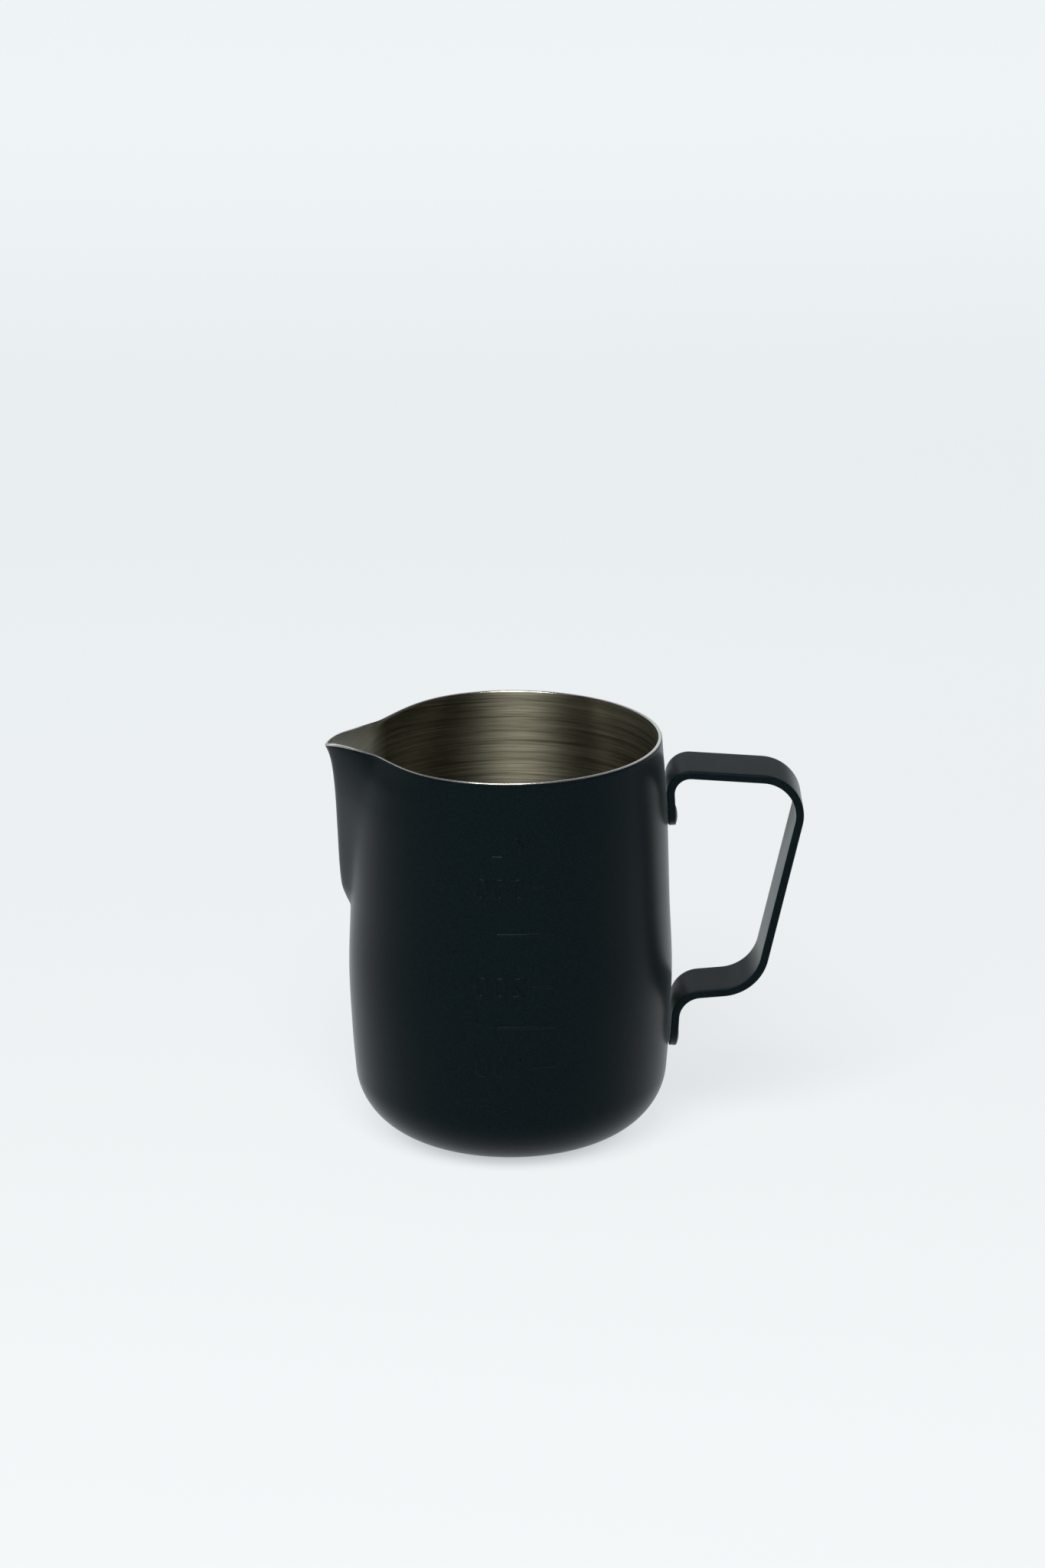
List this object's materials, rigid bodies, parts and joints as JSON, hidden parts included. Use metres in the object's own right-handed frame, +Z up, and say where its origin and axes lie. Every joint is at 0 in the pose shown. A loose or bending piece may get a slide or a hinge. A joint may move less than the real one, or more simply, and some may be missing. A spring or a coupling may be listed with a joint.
{
  "type": "milk frothing pitcher",
  "caption": "Small round steel milk pitcher with a V spout, a flat strap handle, a black outside and a pressed volume scale.",
  "frame": {"origin": "centre of the flat base, on the axis of the round body", "axes": "+Z up along the body axis, spout along -X, handle along +X, the volume scale on the -Y side"},
  "size_m": [0.1134, 0.0777, 0.098],
  "materials": {
    "bare_steel": "drawn stainless sheet, brushed round the inside, bare rim",
    "black_film": "satin black baked film with a fine grain",
    "black_strap": "satin black baked film on steel strap",
    "black_weld": "satin black baked film over weld metal"
  },
  "bodies": {
    "root": {"pitcher_body": "bare_steel", "outer_coating": "black_film", "handle": "black_strap", "handle_welds": "black_weld"}
  },
  "joints": []
}
